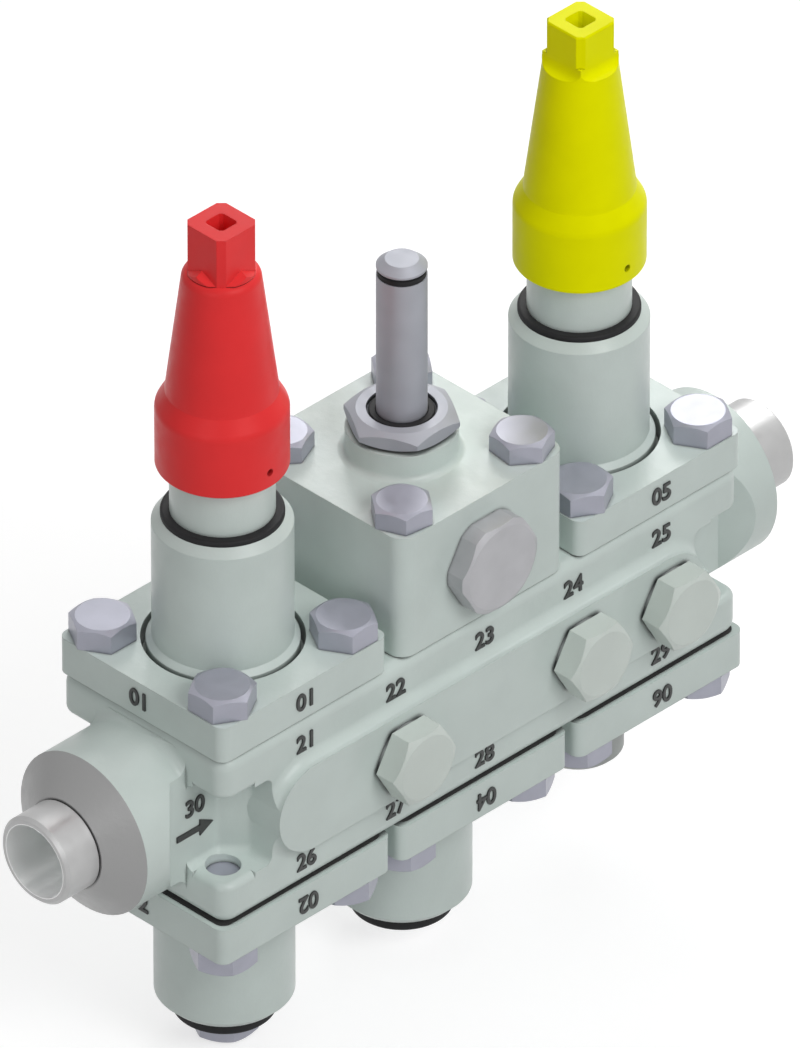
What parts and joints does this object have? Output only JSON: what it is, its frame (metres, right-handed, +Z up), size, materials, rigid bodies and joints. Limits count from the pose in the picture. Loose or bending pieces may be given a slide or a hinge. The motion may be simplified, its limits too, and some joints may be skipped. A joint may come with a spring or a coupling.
{
  "type": "valve station",
  "caption": "Bolted refrigerant valve station with stop, filter, solenoid, check and regulating modules in one housing with weld ends and coloured sealing caps.",
  "frame": {"origin": "on the line axis at the face of the inlet weld end", "axes": "+X along the line in the direction of flow, +Z up along the spindles, -Y the face with the port plugs"},
  "size_m": [0.287, 0.0787, 0.2728],
  "materials": {
    "body": "satin",
    "insert": "satin",
    "weld_steel": "turned",
    "bolt": "zinc plated",
    "steel": "turned",
    "tube": "polished",
    "plug_steel": "turned",
    "port_plug": "satin",
    "red": "semi-gloss",
    "yellow": "semi-gloss",
    "rubber": "matt",
    "packing": "matt",
    "gasket": "matt",
    "washer": "plain",
    "spring": "wire",
    "mesh": "woven"
  },
  "bodies": {
    "station": {"armature_spring": "spring", "armature_tube": "tube", "blank_bolts": "bolt", "blank_cover": "body", "blank_insert": "insert", "check_bolts": "bolt", "check_bowl": "body", "check_bowl_ring": "rubber", "check_cover": "body", "check_end_plug": "steel", "check_seat": "steel", "check_spring": "spring", "cover_gaskets": "gasket", "drain_plug": "bolt", "filter_bolts": "bolt", "filter_bowl": "body", "filter_bowl_ring": "rubber", "filter_cover": "body", "filter_insert": "mesh", "flange_seals": "gasket", "housing": "body", "inlet_stub": "weld_steel", "outlet_stub": "weld_steel", "pilot_plug": "plug_steel", "port_plugs": "port_plug", "port_washers": "washer", "regulating_bolts": "bolt", "regulating_bonnet": "body", "regulating_cover": "body", "regulating_gland": "steel", "regulating_neck_ring": "rubber", "regulating_packing": "packing", "regulating_seat": "packing", "regulating_spigot_seal": "rubber", "servo_seat": "packing", "servo_sleeve": "steel", "servo_spring": "spring", "solenoid_block": "body", "solenoid_bolts": "bolt", "stop_bolts": "bolt", "stop_bonnet": "body", "stop_cover": "body", "stop_gland": "steel", "stop_neck_ring": "rubber", "stop_packing": "packing", "stop_seat": "packing", "stop_spigot_seal": "rubber", "tube_clip": "rubber", "tube_nut": "tube"},
    "stop_cap_body": {"stop_cap": "red"},
    "regulating_cap_body": {"regulating_cap": "yellow"},
    "stop_cone_body": {"stop_cone": "steel"},
    "stop_spindle_body": {"stop_spindle": "steel"},
    "regulating_cone_body": {"regulating_cone": "steel"},
    "regulating_spindle_body": {"regulating_spindle": "steel"},
    "armature_body": {"armature": "steel"},
    "servo_piston_body": {"servo_piston": "steel"},
    "check_disc_body": {"check_disc": "steel"}
  },
  "joints": [
    {"name": "stop_cap_lift", "type": "slide", "parent": "station", "child": "stop_cap_body", "axis": [0, 0, 1], "range_m": [0, 0.075]},
    {"name": "regulating_cap_lift", "type": "slide", "parent": "station", "child": "regulating_cap_body", "axis": [0, 0, 1], "range_m": [0, 0.075]},
    {"name": "stop_cone_lift", "type": "slide", "parent": "station", "child": "stop_cone_body", "axis": [0, 0, 1], "range_m": [0, 0.01]},
    {"name": "stop_spindle_turn", "type": "hinge", "parent": "stop_cone_body", "child": "stop_spindle_body", "pos_m": [0.0735, 0, 0.13], "axis": [0, 0, 1], "range_deg": [0, 1440]},
    {"name": "regulating_cone_lift", "type": "slide", "parent": "station", "child": "regulating_cone_body", "axis": [0, 0, 1], "range_m": [0, 0.01]},
    {"name": "regulating_spindle_turn", "type": "hinge", "parent": "regulating_cone_body", "child": "regulating_spindle_body", "pos_m": [0.2135, 0, 0.13], "axis": [0, 0, 1], "range_deg": [0, 1440]},
    {"name": "armature_lift", "type": "slide", "parent": "station", "child": "armature_body", "axis": [0, 0, 1], "range_m": [0, 0.0025], "stiffness_N_per_m": 200, "springref_m": -0.006, "deforming": ["armature_spring"]},
    {"name": "servo_piston_lift", "type": "slide", "parent": "station", "child": "servo_piston_body", "axis": [0, 0, 1], "range_m": [0, 0.006], "stiffness_N_per_m": 300, "springref_m": -0.01, "deforming": ["servo_spring"]},
    {"name": "check_disc_lift", "type": "slide", "parent": "station", "child": "check_disc_body", "axis": [0, 0, -1], "range_m": [0, 0.006], "stiffness_N_per_m": 300, "springref_m": -0.006, "deforming": ["check_spring"]}
  ],
  "couplings": [
    {"joint": "stop_spindle_turn", "follows": "stop_cone_lift", "rad_per_m": 2513.3},
    {"joint": "regulating_spindle_turn", "follows": "regulating_cone_lift", "rad_per_m": 2513.3}
  ]
}
